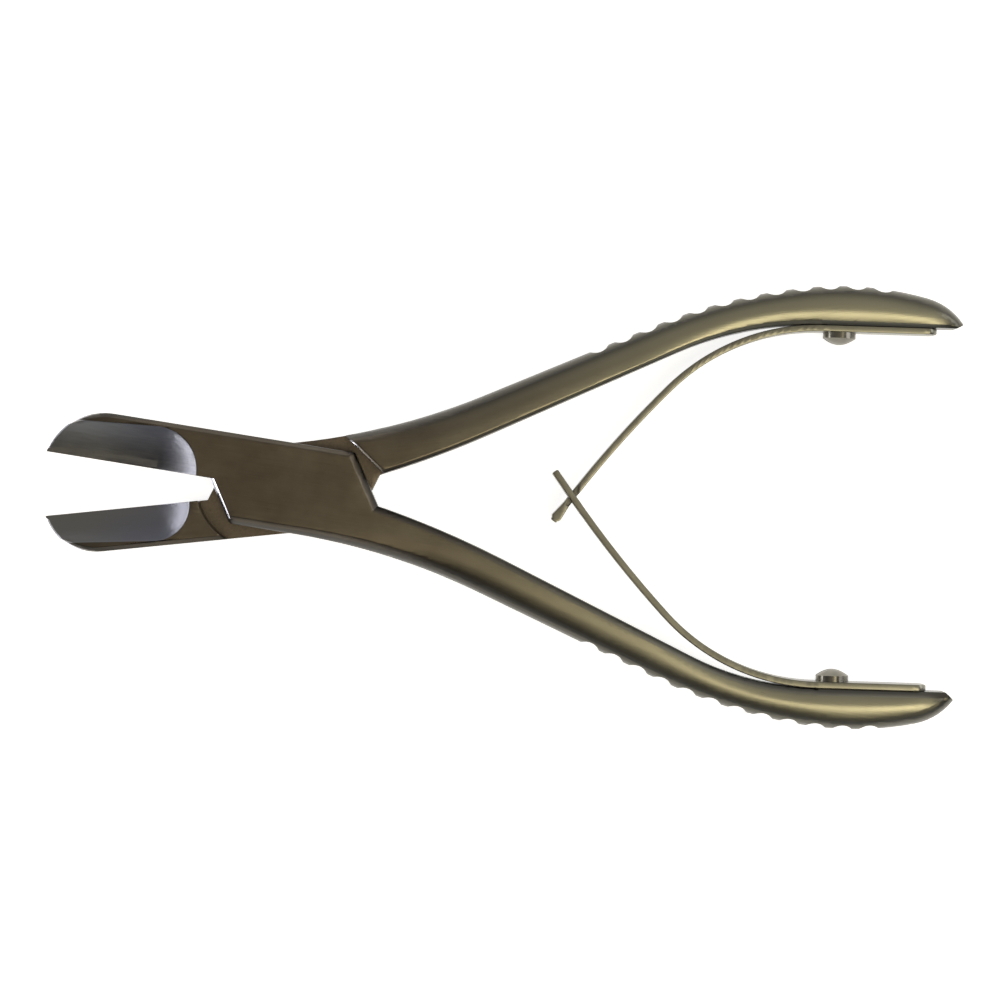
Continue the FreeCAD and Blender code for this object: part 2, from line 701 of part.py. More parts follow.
def cut_window(body):
    """The window near the tip that the other spring's tongue passes through."""
    centre = spring_crossing
    half_height = s.tongue_width / 2 + s.tongue_clearance
    left = centre - s.window_reach
    right = centre + s.window_reach
    sketch = draw(new_sketch(body, "window", "XZ_Plane"),
                  [(left, -half_height), (right, -half_height), (right, half_height),
                   (left, half_height)])
    pocket(body, "window_cut", sketch)


def cut_tongue(body, shape):
    """Narrows the strip either side of the crossing, which leaves a wider head at its end."""
    centre = spring_crossing
    left = centre - s.tongue_reach
    right = centre + s.tongue_reach
    inner = s.tongue_width / 2
    outer = s.spring_width / 2 + OVERRUN
    head = s.head_width / 2
    far = shape.tip[0] - OVERRUN * 2
    for side in (1, -1):
        label = "upper" if side > 0 else "lower"
        sketch = draw(new_sketch(body, label + "_tongue_side", "XZ_Plane"),
                      [(right, side * inner), (right, side * outer), (far, side * outer),
                       (far, side * head), (left, side * head), (left, side * inner)])
        pocket(body, label + "_tongue_cut", sketch)


def thicken_head(body):
    """The head grows thicker towards its end, so that it cannot slip back through the window."""
    sketch = new_sketch(body, "head", "XY_Plane", base=(spring_crossing, ZERO),
                        turn=s.crossing_angle)
    start = -(s.tongue_reach / cosine(s.crossing_angle))
    thin = s.spring_thickness / 2
    thick = s.head_thickness / 2
    # The sketch's own X runs along the strip, and its far end is half round
    draw(sketch, [(start, thin), (thick - s.spring_tip, thick), (thick - s.spring_tip, -thick),
                  (start, -thin)], {1: (s.head_end_radius, 1)})
    pad(body, "head_pad", sketch, s.head_width)


def build_spring(name, side, shape):
    body = new_body(name)
    sweep_strip(body, side, shape)
    round_tail(body, side, shape)
    bore_strip(body, side, shape)
    if side > 0:
        cut_tongue(body, shape)
        thicken_head(body)
    else:
        cut_window(body)
    return body


def build_screw(name):
    """Cheese head screw, modelled with its head up and its head's underside at z = 0."""
    body = new_body(name)
    shank = s.spring_thickness + s.screw_depth
    top = s.screw_head_height
    section = draw(new_sketch(body, "screw_section", "XZ_Plane"),
                   [(ZERO, -shank), (s.screw_shank_radius, -shank), (s.screw_shank_radius, ZERO),
                    (s.screw_head_radius, ZERO), (s.screw_head_radius, top), (ZERO, top)])
    feature = body.newObject("PartDesign::Revolution", "screw")
    feature.Profile = section
    feature.ReferenceAxis = (section, ["V_Axis"])
    feature.Angle = 360
    half = s.slot_width / 2
    floor = top - s.slot_depth
    slot = draw(new_sketch(body, "slot", "YZ_Plane"),
                [(-half, floor), (half, floor), (half, top + OVERRUN), (-half, top + OVERRUN)])
    pocket(body, "slot_cut", slot)
    return body


def place(body, base, rotation):
    """Puts a body at its place in the part and binds that place to the sheet."""
    position = Vector(base[0].value, base[1].value, base[2].value)
    body.Placement = FreeCAD.Placement(position, rotation)
    for axis, size in zip("xyz", base):
        bind(body, ".Placement.Base." + axis, size)


def opened(angle):
    return FreeCAD.Rotation(Vector(0, 0, 1), angle)


TURNED_OVER = FreeCAD.Rotation(Vector(1, 0, 0), 180)
joint_middle = (ZERO, ZERO, half_thickness)
front_shape = ArmShape(front_side, edge_offset - s.edge_shift, s.front_nose_bend_radius,
                       s.seat_offset + s.front_seat_more,
                       s.inner_start_angle - s.front_inner_less_angle, s.front_inner_chamfer,
                       lower_shape)
front_arm = build_arm("front_arm", front_shape)
place(front_arm, joint_middle, opened(-s.open_half_angle.value))
rear_shape = ArmShape(rear_side, edge_offset + s.edge_shift, s.nose_bend_radius, s.seat_offset,
                      s.inner_start_angle, s.inner_chamfer, upper_shape)
rear_arm = build_arm("rear_arm", rear_shape)
place(rear_arm, joint_middle, opened(s.open_half_angle.value) * TURNED_OVER)
pivot_pin = build_rivet()
place(pivot_pin, joint_middle, opened(0))
upper_spring = build_spring("upper_spring", 1, upper_shape)
place(upper_spring, joint_middle, opened(0))
lower_spring = build_spring("lower_spring", -1, lower_shape)
place(lower_spring, joint_middle, opened(0))
upper_spring_screw = build_screw("upper_spring_screw")
place(upper_spring_screw, (upper_shape.screw_place, s.seat_offset - s.spring_thickness, half_thickness),
      FreeCAD.Rotation(Vector(1, 0, 0), 90))
lower_spring_screw = build_screw("lower_spring_screw")
place(lower_spring_screw,
      (lower_shape.screw_place, s.spring_thickness - s.seat_offset - s.front_seat_more, half_thickness),
      FreeCAD.Rotation(Vector(1, 0, 0), -90))
doc.recompute()

for feature in doc.Objects:
    if "Invalid" in feature.State or "Error" in feature.State:
        raise RuntimeError(feature.Name + " did not build: " + str(feature.State))
pieces = [front_arm, rear_arm, pivot_pin, upper_spring, lower_spring, upper_spring_screw,
          lower_spring_screw]
os.makedirs("parts", exist_ok=True)
for piece in pieces:
    if piece.Shape.isNull() or not piece.Shape.isValid() or len(piece.Shape.Solids) != 1:
        raise RuntimeError(piece.Label + " is not one valid solid")
for piece in pieces:
    piece.Shape.exportStep(os.path.join("parts", piece.Label + ".step"))
    box = piece.Shape.BoundBox
    print(piece.Label, "volume %.1f" % piece.Shape.Volume,
          "x %.2f %.2f y %.2f %.2f z %.2f %.2f"
          % (box.XMin, box.XMax, box.YMin, box.YMax, box.ZMin, box.ZMax))
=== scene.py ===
# %% [markdown]
# # Bone cutting forceps in Blender
# The solids of the forceps arrive as a frame: two arms, a rivet, two leaf springs and two screws.
# This lesson gives them their finish, a floor, soft light and a camera. The scene is in metres. The
# sizes of the forceps are written in millimetres, and MM turns them into metres.

# %% Load the frame and keep its box
import bmesh
import bpy
import math
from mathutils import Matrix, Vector
from mathutils.kdtree import KDTree


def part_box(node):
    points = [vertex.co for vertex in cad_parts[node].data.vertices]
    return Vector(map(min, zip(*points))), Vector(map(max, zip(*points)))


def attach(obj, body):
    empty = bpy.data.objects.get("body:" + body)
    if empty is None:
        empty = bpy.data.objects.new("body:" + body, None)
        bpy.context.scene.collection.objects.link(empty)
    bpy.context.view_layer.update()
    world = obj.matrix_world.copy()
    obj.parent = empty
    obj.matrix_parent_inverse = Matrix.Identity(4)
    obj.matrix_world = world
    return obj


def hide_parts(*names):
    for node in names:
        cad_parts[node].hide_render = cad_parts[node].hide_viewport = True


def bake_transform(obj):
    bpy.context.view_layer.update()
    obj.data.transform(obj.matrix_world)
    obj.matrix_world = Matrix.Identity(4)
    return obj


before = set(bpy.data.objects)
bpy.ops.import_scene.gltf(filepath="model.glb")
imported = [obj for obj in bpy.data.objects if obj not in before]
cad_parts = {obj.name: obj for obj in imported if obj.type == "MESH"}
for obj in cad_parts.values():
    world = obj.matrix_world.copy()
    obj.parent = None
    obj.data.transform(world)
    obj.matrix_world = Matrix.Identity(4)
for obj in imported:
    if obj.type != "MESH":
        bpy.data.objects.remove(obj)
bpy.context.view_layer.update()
MM = 0.001
IN_MILLIMETRES = (1000, 1000, 1000)
print("nodes:", sorted(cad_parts))

# %% [markdown]
# ## Shader sums written as Python
# A finish on steel is mostly arithmetic on positions: where the grinding stops, how the brushing
# runs. One small class wraps a socket, so that such sums read like ordinary Python.


# %% Wires and finishes
class Wire:
    """One output socket inside a finish, with the arithmetic that the finishes use."""

    def __init__(self, finish, socket):
        self.finish = finish
        self.socket = socket

    def __add__(self, other):
        return self.finish.sum("ADD", self, other)

    def __radd__(self, other):
        return self.finish.sum("ADD", other, self)

    def __sub__(self, other):
        return self.finish.sum("SUBTRACT", self, other)

    def __rsub__(self, other):
        return self.finish.sum("SUBTRACT", other, self)

    def __mul__(self, other):
        return self.finish.sum("MULTIPLY", self, other)

    def __truediv__(self, other):
        return self.finish.sum("DIVIDE", self, other)

    def between(self, low, high):
        """0 below low, 1 above high and smooth between them."""
        made = self.finish.node("ShaderNodeMapRange", {"interpolation_type": "SMOOTHSTEP"},
                                {"Value": self, "From Min": low, "From Max": high})
        return Wire(self.finish, made.outputs["Result"])

    def band(self, rise, fall):
        """1 from the end of the rise to the start of the fall, and 0 outside both."""
        return self.between(*rise) * (1.0 - self.between(*fall))


class Finish:
    """The nodes of a material or of the sky, and the few calls that wire them."""

    def __init__(self, owner):
        self.owner = owner
        owner.use_nodes = True
        self.tree = owner.node_tree
        self.tree.nodes.clear()

    def node(self, kind, settings=None, sockets=None):
        made = self.tree.nodes.new(kind)
        for setting, value in (settings or {}).items():
            setattr(made, setting, value)
        for name, value in (sockets or {}).items():
            target = made.inputs[name]
            if isinstance(value, Wire):
                self.tree.links.new(value.socket, target)
            else:
                target.default_value = value
        return made

    def sum(self, operation, first, second=0.0):
        made = self.node("ShaderNodeMath", {"operation": operation}, {0: first, 1: second})
        return Wire(self, made.outputs[0])

    def place(self):
        """Where a point of the piece is, in the row frame."""
        return Wire(self, self.node("ShaderNodeTexCoord").outputs["Object"])

    def moved(self, vector, location=(0, 0, 0), rotation=(0, 0, 0), scale=(1, 1, 1)):
        made = self.node("ShaderNodeMapping", None, {"Vector": vector, "Location": location,
                                                     "Rotation": rotation, "Scale": scale})
        return Wire(self, made.outputs["Vector"])

    def split(self, vector):
        made = self.node("ShaderNodeSeparateXYZ", None, {0: vector})
        return [Wire(self, made.outputs[axis]) for axis in "XYZ"]

    def noise(self, vector, scale, detail=3.0, roughness=0.5):
        made = self.node("ShaderNodeTexNoise", None, {"Vector": vector, "Scale": scale,
                                                      "Detail": detail, "Roughness": roughness})
        return Wire(self, made.outputs[0])

    def blend(self, amount, first, second):
        """A colour between two others."""
        made = self.node("ShaderNodeMix", {"data_type": "RGBA"},
                         {0: amount, 6: first, 7: second})
        return Wire(self, made.outputs[2])

    def bumped(self, height, distance):
        made = self.node("ShaderNodeBump", None, {"Height": height, "Distance": distance})
        return Wire(self, made.outputs["Normal"])

    def steel(self, color, roughness, normal):
        shader = self.node("ShaderNodeBsdfPrincipled", None,
                           {"Base Color": color, "Metallic": 1.0, "Roughness": roughness,
                            "Normal": normal})
        output = self.node("ShaderNodeOutputMaterial")
        self.tree.links.new(shader.outputs[0], output.inputs["Surface"])
        return self.owner


def shade(red, green, blue):
    return (red, green, blue, 1.0)


print("ready:", Wire.__name__, "and", Finish.__name__)

# %% [markdown]
# ## The satin finish of the arms
# Both arms were brushed along their length and then used and sterilised for years, so the steel
# is warm and a little uneven. The hollow grind of the blades is finer and runs to a sharp border;
# its colder tone is painted reflection, and it is painted lighter on one arm than on the other.
# The machined floors of the lap stay rough. All of it follows the shape of one closed
# arm, so the same sums serve both arms once a point is turned back to the closed place.

# %% The arms' sizes and steels
OPEN_ANGLE = math.radians(7.4)
LAP_HEIGHT = 3.5
EDGE_SHIFT = 0.52
GRIND_END = 20.7
GRIND_WIDTH = 6.1
GRIND_TIP_WIDTH = 4.7
TIP_REACH = 39.1
GRIND_NARROWING = (GRIND_WIDTH - GRIND_TIP_WIDTH) / (TIP_REACH - GRIND_END)
PLATE_END_CORNER = (-12.44, -0.18)
PLATE_END_FACING = (-0.859, -0.513)
PLATE_END_BAND = ((-0.9, -0.7), (0.3, 0.5))
PLATE_SPAN = ((-6.2, -5.9), (0.1, 0.4))
PLATE_CHAMFER = ((2.6, 2.7), (3.44, 3.5))
WALL_CORNER = (9.12, -6.64)
WALL_FACING = (0.787, -0.617)
WALL_BAND = ((-0.5, -0.3), (0.5, 0.7))
WALL_START = (-6.4, -6.0)
WALL_CHAMFER = ((-3.5, -3.44), (-2.9, -2.8))
SHADED_SIDE_HEIGHT = (2.55, 3.4)
LAP_FLOOR_HEIGHT = (0.08, 0.2)
HAND_SHEEN_START = (5.0, 75.0)
HOLLOW_END = (-34.0, -19.0)
MARK_DEPTH = 0.012 * MM
WARM_STEEL = shade(0.094, 0.077, 0.058)
PALE_STEEL = shade(0.145, 0.125, 0.096)
OLIVE_PAINTED_SHEEN = shade(0.34, 0.325, 0.245)
SIDE_PAINTED_SHADE = shade(0.04, 0.04, 0.04)
FRONT_HOLLOW_PAINTED_LIGHT = shade(0.36, 0.355, 0.345)
REAR_HOLLOW_PAINTED_LIGHT = shade(0.165, 0.163, 0.156)
HOLLOW_END_COLD_REFLECTION = shade(0.15, 0.152, 0.185)
HOLLOW_RIM_STEEL = shade(0.22, 0.22, 0.25)
MACHINED_STEEL = shade(0.16, 0.13, 0.1)
PAINTED_GLINT_STEEL = shade(0.9, 0.9, 1.0)
print("cutting edge", EDGE_SHIFT, "mm off the mid line")

# %% [markdown]
# The hollow grind is a band along the cutting edge that ends in a quarter circle. Two chamfers at
# the lap face the blades' tips and were polished, and they get a painted glint: one on the end of
# the lap plate, one on the wall of the lap.

# %% Where the steel was ground, and where the chamfers get a painted glint


def hollow_grind(finish, x, y, edge):
    """The hollow itself, and a band along the inside of its border."""
    from_end = x + GRIND_END
    beyond = finish.sum("MAXIMUM", from_end, 0.0)
    width = GRIND_WIDTH - edge + finish.sum("MINIMUM", from_end, 0.0) * GRIND_NARROWING
    from_edge = y - edge
    reach = finish.sum("SQRT", beyond * beyond + from_edge * from_edge) / width
    hollow = 1.0 - reach.between(0.985, 1.0)
    return hollow, reach.between(0.93, 0.985) * hollow


def beyond_line(x, y, corner, facing):
    """How far a point lies beyond a line through a corner, on the side that it faces."""
    return (x - corner[0]) * facing[0] + (y - corner[1]) * facing[1]


def chamfers_polish_and_glint(finish, x, y, z):
    """The two chamfers at the lap that face the blades' tips, where the painted glint goes."""
    plate = beyond_line(x, y, PLATE_END_CORNER, PLATE_END_FACING)
    plate_end = z.band(*PLATE_CHAMFER) * y.band(*PLATE_SPAN) * plate.band(*PLATE_END_BAND)
    wall = beyond_line(x, y, WALL_CORNER, WALL_FACING)
    wall_end = z.band(*WALL_CHAMFER) * y.between(*WALL_START) * wall.band(*WALL_BAND)
    return finish.sum("MAXIMUM", plate_end, wall_end)


print("the hollow narrows by", round(GRIND_NARROWING, 3), "mm for each mm towards the tip")


# %% The arms' finish


def arm_finish(name, turned_over, hollow_painted_light):
    finish = Finish(bpy.data.materials.new(name))
    side = 1.0 if turned_over else -1.0
    flip = math.pi if turned_over else 0.0
    closed = finish.moved(finish.place(), location=(0, 0, side * LAP_HEIGHT),
                          rotation=(flip, 0, OPEN_ANGLE), scale=IN_MILLIMETRES)
    x, y, z = finish.split(closed)
    height = finish.sum("ABSOLUTE", z)
    hollow, rim = hollow_grind(finish, x, y, side * EDGE_SHIFT)
    polish_and_glint = chamfers_polish_and_glint(finish, x, y, z) * (1.0 - hollow)
    shaded_side = 1.0 - height.between(*SHADED_SIDE_HEIGHT)
    lap_floor = 1.0 - height.between(*LAP_FLOOR_HEIGHT)

    brushing = finish.noise(finish.moved(closed, scale=(0.05, 2.2, 2.2)), 3.0, 4.0, 0.6)
    cloud = finish.noise(closed, 0.16, 3.0, 0.55)
    speck = finish.noise(closed, 2.6, 2.0, 0.5)
    grinding = finish.noise(finish.moved(closed, scale=(0.12, 1.6, 0.5)), 2.0, 3.0, 0.5)

    # Painted sheen: the brushed steel is painted paler and olive towards the hand.
    # Painted shade: its rounded sides are painted darker
    tone = (cloud - 0.5) * 1.3 + (brushing - 0.5) * 0.5 + 0.35
    color = finish.blend(finish.sum("MAXIMUM", tone, 0.0), WARM_STEEL, PALE_STEEL)
    # Painted sheen: paler olive steel towards the hand
    color = finish.blend(x.between(*HAND_SHEEN_START) * 0.85, color, OLIVE_PAINTED_SHEEN)
    # Painted shade: the rounded sides are darkened in the colour
    color = finish.blend(shaded_side * 0.75, color, SIDE_PAINTED_SHADE)

    # Painted light on the hollow: the front arm's is painted lighter and the rear arm's darker, and it
    # turns bluish towards its rounded end as painted cold reflection, mixed with grinding marks
    end_reflection_and_grinding = x.between(*HOLLOW_END) * 0.8 + (grinding - 0.5) * 0.5
    color = finish.blend(hollow, color, finish.blend(end_reflection_and_grinding, hollow_painted_light, HOLLOW_END_COLD_REFLECTION))
    color = finish.blend(rim * 0.4, color, HOLLOW_RIM_STEEL)

    # The lap floors keep the marks of the cutter, and the chamfers were polished last and get a
    # painted glint
    color = finish.blend(lap_floor * (0.75 + (speck - 0.5) * 0.8), color, MACHINED_STEEL)
    # Painted glint: the polished chamfers are painted near white
    color = finish.blend(polish_and_glint, color, PAINTED_GLINT_STEEL)
    roughness = 0.31 + (cloud - 0.5) * 0.12 + (brushing - 0.5) * 0.1
    roughness = roughness + lap_floor * 0.14 - polish_and_glint * 0.12
    marks = brushing * (1.0 - lap_floor) + speck * lap_floor
    return finish.steel(color, roughness, finish.bumped(marks, MARK_DEPTH))


front_steel = arm_finish("front_arm_satin_steel", False, FRONT_HOLLOW_PAINTED_LIGHT)
rear_steel = arm_finish("rear_arm_satin_steel", True, REAR_HOLLOW_PAINTED_LIGHT)
print("arm finishes:", front_steel.name, rear_steel.name)

# %% [markdown]
# The rounded edge of the blade's nose was polished last. At the very tip it gets a painted glint,
# and further back it is dark brown steel.

# %% The finish of the nose's rim
RIM_BROWN = shade(0.11, 0.105, 0.095)
RIM_PAINTED_GLINT = shade(0.75, 0.75, 0.82)
RIM_TIP = (-33.5, -29.5)
POLISH_DEPTH = 0.003 * MM


def rim_glint_finish():
    finish = Finish(bpy.data.materials.new("polished_rim_painted_glint"))
    place = finish.moved(finish.place(), scale=IN_MILLIMETRES)
    cloud = finish.noise(place, 0.3, 2.0, 0.5)
    glint_at_tip = 1.0 - finish.split(place)[0].between(*RIM_TIP)
    # Painted glint: the rim is painted bright at the very tip
    color = finish.blend(glint_at_tip, RIM_BROWN, RIM_PAINTED_GLINT)
    return finish.steel(color, 0.2 + cloud * 0.1, finish.bumped(cloud, POLISH_DEPTH))


rim_glint_steel = rim_glint_finish()
print("nose finish:", rim_glint_steel.name)

# %% [markdown]
# ## Smooth copies of the solids
# A solid comes as loose triangles. Its copy merges the doubled points and dissolves the borders
# between triangles of one flat face. What is left is easy to bevel, and shades smoothly over
# rounded sides while ground edges stay crisp.

# %% Merge, bevel and smooth a solid
CREASE_ANGLE = math.radians(24)
RIDGE_ANGLE = math.radians(28)
FLAT_ANGLE = math.radians(0.3)
SAME_POINT = 0.002 * MM
ON_PLANE = 0.001 * MM
BORE_RIM = 4.0
FLAT_FACE_WEIGHT = 60


def merged_shape(node):
    made = bmesh.new()
    made.from_mesh(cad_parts[node].data)
    bmesh.ops.remove_doubles(made, verts=made.verts, dist=SAME_POINT)
    bmesh.ops.recalc_face_normals(made, faces=made.faces)
    bmesh.ops.dissolve_limit(made, angle_limit=FLAT_ANGLE, verts=made.verts, edges=made.edges)
    return made


def ridges(made):
    """The edges that stand out where faces meet at a clear angle, but not those of the bore."""
    return [edge for edge in made.edges
            if len(edge.link_faces) == 2 and edge.is_convex and edge.calc_face_angle(0.0) > RIDGE_ANGLE
            and edge.verts[0].co.xy.length > BORE_RIM * MM]


def soften(made, edges, width, segments):
    """Rounds edges over a width in millimetres, and gives back the new faces."""
    result = bmesh.ops.bevel(made, geom=edges, offset=width * MM, offset_type="OFFSET",
                             affect="EDGES", segments=segments, profile=0.5, material=-1,
                             clamp_overlap=False)
    return result["faces"]


def cut_across(made, axis, low, high, step):
    """Cuts a shape into slices at equal steps along one axis."""
    across = low + step / 2
    normal = [0.0, 0.0, 0.0]
    normal[axis] = 1.0
    while across < high:
        point = [across * part for part in normal]
        parts = made.verts[:] + made.edges[:] + made.faces[:]
        bmesh.ops.bisect_plane(made, geom=parts, dist=ON_PLANE, plane_co=point, plane_no=normal)
        across += step


def shown(made, name, material):
    """Turns a finished shape into an object with smooth shading and crisp edges."""
    for face in made.faces:
        face.smooth = True
    for edge in made.edges:
        edge.smooth = len(edge.link_faces) == 2 and edge.calc_face_angle(0.0) < CREASE_ANGLE
    mesh = bpy.data.meshes.new(name)
    made.to_mesh(mesh)
    made.free()
    mesh.materials.append(material)
    piece = bpy.data.objects.new(name, mesh)
    bpy.context.scene.collection.objects.link(piece)
    weighting = piece.modifiers.new("even_shading", "WEIGHTED_NORMAL")
    weighting.keep_sharp = True
    weighting.weight = FLAT_FACE_WEIGHT
    print(name, len(mesh.polygons), "faces")
    return piece


def rigid(piece, node, body):
    """Hides the solid that a piece stands for and hangs the piece on the body that it rides on."""
    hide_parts(node)
    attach(piece, body)


print("ridges are found from", round(math.degrees(RIDGE_ANGLE)), "degrees")

# %% [markdown]
# ## The two forgings
# The handles are softly rounded over their outer side, and in the hand also over their inner
# side. The solid has a flat face there that meets the rounded side at a crease. The copy is sliced
# finely and its faces sink towards the crease, so that the flat runs over into the round.

# %% Sizes of the soft edges and faces
RIDGE_WIDTH = 0.13
END_LENGTH = 2.0
NOSE_START = -29.0
NOSE_WIDTH = 0.32
LAND_HEIGHT = 0.4
SLICE_LENGTH = 1.3 * MM
SLICE_WIDTH = 0.55 * MM
DOME_START = (6.0, 30.0)
DOME_DROP = 0.5
DOME_WIDTH = 2.4
CROWN_WIDTH = 1.67
PALM_START = (52.0, 74.0)
PALM_DROP = 0.4
PALM_WIDTH = 1.9
PALM_BEYOND = 100.0
FRONT_FACE = 6.9
BORDER_START = 2.0
BORDER_STEP = 0.1
print("faces sink", DOME_DROP, "mm at the outer border and", PALM_DROP, "mm in the hand")

# %% [markdown]
# The border of the flat front face is found on the merged copy. A point's distance from it says how
# deep the face sinks there. The back of a handle is like its front, so one border serves for both.

# %% The border of a flat face, and how deep the face sinks there


def border_points(made, outward):
    """Points along the border between the flat front face and the side that looks outward."""
    points = []
    for edge in made.edges:
        if len(edge.link_faces) != 2 or min(vertex.co.z for vertex in edge.verts) < FRONT_FACE * MM:
            continue
        flat, side = sorted(edge.link_faces, key=lambda face: -face.normal.z)
        if flat.normal.z < 0.999 or not 0.2 < side.normal.z < 0.97 or side.normal.y * outward < 0.2:
            continue
        start, end = (vertex.co for vertex in edge.verts)
        if min(start.x, end.x) < BORDER_START * MM:
            continue
        count = max(2, int((end - start).length / (BORDER_STEP * MM)))
        points += [start.lerp(end, place / count) for place in range(count + 1)]
    tree = KDTree(len(points))
    for place, point in enumerate(points):
        tree.insert((point.x, point.y, 0.0), place)
    tree.balance()
    return tree


def distance_inside(tree, place, outward):
    """How far a place lies inside a border, in millimetres, and below zero beyond it."""
    point, _, distance = tree.find((place.x, place.y, 0.0))
    beyond = (place.y - point.y) * outward > 0.0
    return (-distance if beyond else distance) / MM


def smooth_step(value, low, high):
    part = min(max((value - low) / (high - low), 0.0), 1.0)
    return part * part * (3.0 - 2.0 * part)


def sink(inside, drop, width, beyond):
    """How deep a face sinks near its border. It dies away over a width and beyond the border."""
    if inside < 0.0:
        return drop * max(0.0, 1.0 + inside / beyond)
    return drop * max(0.0, 1.0 - inside / width) ** 2


def sink_handle(made, crown, palm, outward):
    """Sinks the faces of a handle towards its outer border, and in the hand also its inner one."""
    for vertex in made.verts:
        place = vertex.co
        along = place.x / MM
        if along < DOME_START[0]:
            continue
        outer = distance_inside(crown, place, outward)
        inner = distance_inside(palm, place, -outward)
        drop = sink(outer, DOME_DROP, DOME_WIDTH, CROWN_WIDTH) * smooth_step(along, *DOME_START)
        drop += sink(inner, PALM_DROP, PALM_WIDTH, PALM_BEYOND) * smooth_step(along, *PALM_START)
        from_middle = place.z - LAP_HEIGHT * MM
        place.z = LAP_HEIGHT * MM + from_middle * (1.0 - drop / LAP_HEIGHT)


print("a border is a point every", BORDER_STEP, "mm")

# %% [markdown]
# The wall round a blade's nose gets a wider rounding than other ridges. The ridges at the pointed
# end of a handle run together, so they stay sharp.

# %% The forgings


def nose_rim(made, outward):
    """The upper and lower edges of the wall that runs round a blade's tip."""
    edges = []
    for edge in ridges(made):
        place = (edge.verts[0].co + edge.verts[1].co) / 2
        wall = min(edge.link_faces, key=lambda face: abs(face.normal.z)).normal
        away = place.x < NOSE_START * MM and abs(place.z - LAP_HEIGHT * MM) > LAND_HEIGHT * MM
        if away and abs(wall.z) < 0.3 and (wall.y * outward < 0.2 or wall.x < -0.9):
            edges.append(edge)
    return edges


def rounded_forging(node, name, material, outward):
    made = merged_shape(node)
    crown = border_points(made, outward)
    palm = border_points(made, -outward)
    for face in soften(made, nose_rim(made, outward), NOSE_WIDTH, 2):
        face.material_index = 1
    low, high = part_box(node)
    end = high.x - END_LENGTH * MM
    plain = [edge for edge in ridges(made)
             if all(face.material_index == 0 for face in edge.link_faces)
             and all(vertex.co.x < end for vertex in edge.verts)]
    soften(made, plain, RIDGE_WIDTH, 2)
    cut_across(made, 0, 0.0, high.x, SLICE_LENGTH)
    cut_across(made, 1, low.y, high.y, SLICE_WIDTH)
    sink_handle(made, crown, palm, outward)
    piece = shown(made, name, material)
    piece.data.materials.append(rim_glint_steel)
    rigid(piece, node, node)


rounded_forging("front_arm", "front_arm_forging", front_steel, -1.0)
rounded_forging("rear_arm", "rear_arm_forging", rear_steel, 1.0)

# %% [markdown]
# ## The rivet
# It was hammered until it filled its bore, then ground flush and brushed together with the joint,
# so it takes the front arm's steel and hardly shows.

# %% Rivet
SWOLLEN = 1.008

rivet_made = merged_shape("pivot_pin")
bmesh.ops.scale(rivet_made, vec=(SWOLLEN, SWOLLEN, 1.0), verts=rivet_made.verts)
rivet = shown(rivet_made, "rivet", front_steel)
rigid(rivet, "pivot_pin", "front_arm")

# %% [markdown]
# ## The leaf springs
# Each spring is a tempered strip, darker than the arms, polished and rounded at its edges. While
# the handles close it bends; its copy is cut across into short lengths.

# %% Spring finish and springs
SPRING_STEP = 1.0 * MM
SPRING_EDGE = 0.22
SPRING_GRAIN = 0.001 * MM
DARK_SPRING = shade(0.15, 0.145, 0.118)
PALE_SPRING = shade(0.28, 0.27, 0.225)


def spring_finish():
    finish = Finish(bpy.data.materials.new("spring_steel"))
    place = finish.moved(finish.place(), scale=IN_MILLIMETRES)
    grain = finish.noise(finish.moved(place, scale=(1.0, 1.0, 6.0)), 2.0, 3.0, 0.5)
    cloud = finish.noise(place, 0.25, 2.0, 0.5)
    color = finish.blend(cloud * 0.8 + grain * 0.2, DARK_SPRING, PALE_SPRING)
    roughness = 0.27 + grain * 0.06
    return finish.steel(color, roughness, finish.bumped(grain, SPRING_GRAIN))


def bending_spring(node, name, material):
    made = merged_shape(node)
    soften(made, ridges(made), SPRING_EDGE, 2)
    low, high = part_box(node)
    cut_across(made, 0, low.x, high.x, SPRING_STEP)
    piece = shown(made, name, material)
    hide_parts(node)
    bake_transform(piece)


spring_steel = spring_finish()
bending_spring("upper_spring", "upper_leaf_spring", spring_steel)
bending_spring("lower_spring", "lower_leaf_spring", spring_steel)

# %% [markdown]
# ## The spring screws
# Small slotted screws with a polished head. The solid's head is a plain drum. The copy is sliced
# and its outer half sinks towards the rim, which makes the dome.

# %% Screws
HEAD_RADIUS = 2.5
HEAD_DOME = 1.0
DOME_START_DEPTH = 1.3
NEAR_THE_RIM = 0.95
HEAD_SLICE = 0.35 * MM
DARK_SCREW = shade(0.13, 0.122, 0.105)
PALE_SCREW = shade(0.24, 0.225, 0.19)


def screw_finish():
    finish = Finish(bpy.data.materials.new("polished_screw"))
    place = finish.moved(finish.place(), scale=IN_MILLIMETRES)
    cloud = finish.noise(place, 0.8, 2.0, 0.5)
    color = finish.blend(cloud, DARK_SCREW, PALE_SCREW)
    return finish.steel(color, 0.17 + cloud * 0.08, finish.bumped(cloud, POLISH_DEPTH))


def screw_axis(made):
    """The middle of a screw, its axis towards the head, and how far up that axis the head ends."""
    axis = max(made.faces, key=lambda face: face.calc_area()).normal.normalized()
    middle = sum((vertex.co for vertex in made.verts), Vector()) / len(made.verts)
    wide = [(vertex.co - middle).dot(axis) for vertex in made.verts
            if (vertex.co - middle).cross(axis).length > NEAR_THE_RIM * HEAD_RADIUS * MM]
    if sum(wide) < 0.0:
        return middle, -axis, -min(wide)
    return middle, axis, max(wide)


